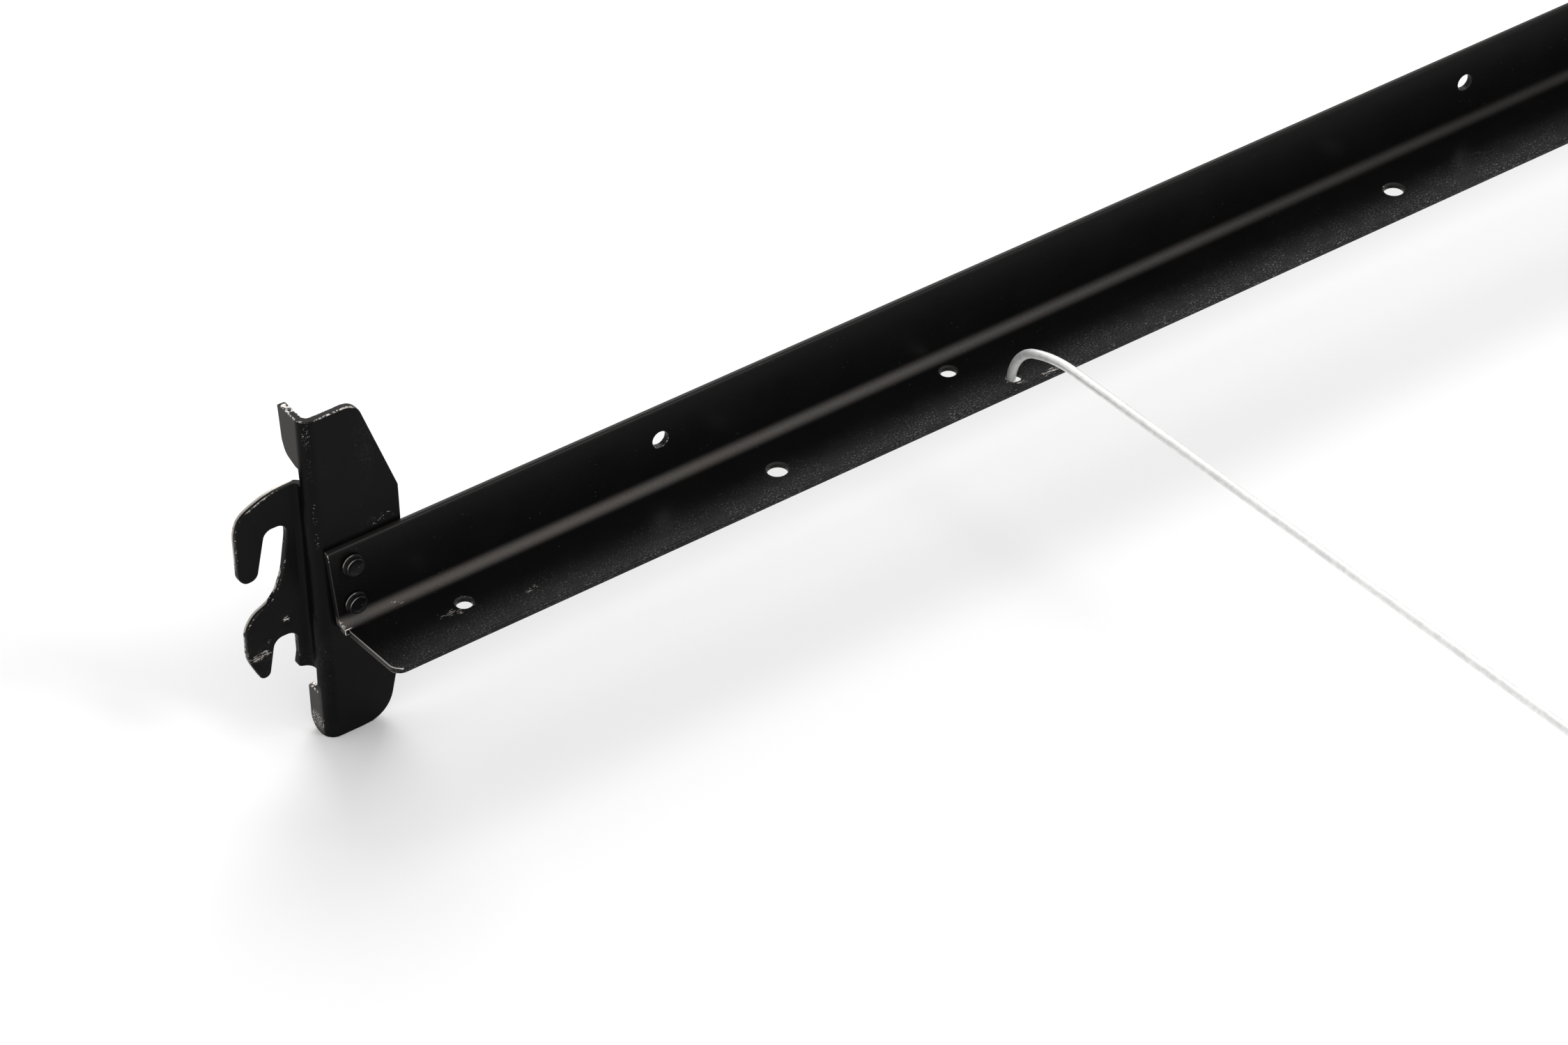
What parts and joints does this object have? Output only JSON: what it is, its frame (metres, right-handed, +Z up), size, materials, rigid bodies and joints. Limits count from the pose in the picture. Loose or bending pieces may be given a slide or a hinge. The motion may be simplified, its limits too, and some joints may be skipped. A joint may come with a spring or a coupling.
{
  "type": "hook-on bed rail set",
  "caption": "Pair of black angle-iron bed side rails with riveted double-hook end brackets, joined by bright cross wires hooked into their ledges; folds flat as a parallelogram.",
  "frame": {"origin": "on the floor under the middle of the set, level with the lowest edges of the brackets", "axes": "+X along the rails, +Y across the bed from rail B to rail A, +Z up"},
  "size_m": [2.0138, 1.0248, 0.152],
  "materials": {
    "rail_enamel": "semi-gloss black baked enamel, worn to steel on edges",
    "bracket_enamel": "semi-gloss black baked enamel, worn on the bends and hooks",
    "rivet_enamel": "black enamel over steel",
    "zinc_wire": "bright zinc plate"
  },
  "bodies": {
    "rail_a": {"side_rail_a": "rail_enamel", "hook_bracket_a_left": "bracket_enamel", "hook_bracket_a_right": "bracket_enamel", "rivet_a_left_lower": "rivet_enamel", "rivet_a_left_upper": "rivet_enamel", "rivet_a_right_lower": "rivet_enamel", "rivet_a_right_upper": "rivet_enamel"},
    "wire_left": {"cross_wire_left": "zinc_wire"},
    "wire_middle": {"cross_wire_middle": "zinc_wire"},
    "wire_right": {"cross_wire_right": "zinc_wire"},
    "rail_b": {"side_rail_b": "rail_enamel", "hook_bracket_b_left": "bracket_enamel", "hook_bracket_b_right": "bracket_enamel", "rivet_b_left_lower": "rivet_enamel", "rivet_b_left_upper": "rivet_enamel", "rivet_b_right_lower": "rivet_enamel", "rivet_b_right_upper": "rivet_enamel"}
  },
  "joints": [
    {"name": "fold", "type": "hinge", "parent": "rail_a", "child": "wire_left", "pos_m": [-0.67631, 0.46515, 0.05415], "axis": [0, 0, 1], "range_deg": [-82.5, 77.5]},
    {"name": "middle_wire_swing", "type": "hinge", "parent": "rail_a", "child": "wire_middle", "pos_m": [-0.02031, 0.46515, 0.05415], "axis": [0, 0, 1], "range_deg": [-82.5, 77.5]},
    {"name": "right_wire_swing", "type": "hinge", "parent": "rail_a", "child": "wire_right", "pos_m": [0.63569, 0.46515, 0.05415], "axis": [0, 0, 1], "range_deg": [-82.5, 77.5]},
    {"name": "far_rail_swing", "type": "hinge", "parent": "wire_left", "child": "rail_b", "pos_m": [-0.63569, -0.46515, 0.05415], "axis": [0, 0, 1], "range_deg": [-77.5, 82.5]}
  ],
  "couplings": [
    {"joint": "middle_wire_swing", "follows": "fold", "ratio": 1},
    {"joint": "right_wire_swing", "follows": "fold", "ratio": 1},
    {"joint": "far_rail_swing", "follows": "fold", "ratio": -1}
  ]
}
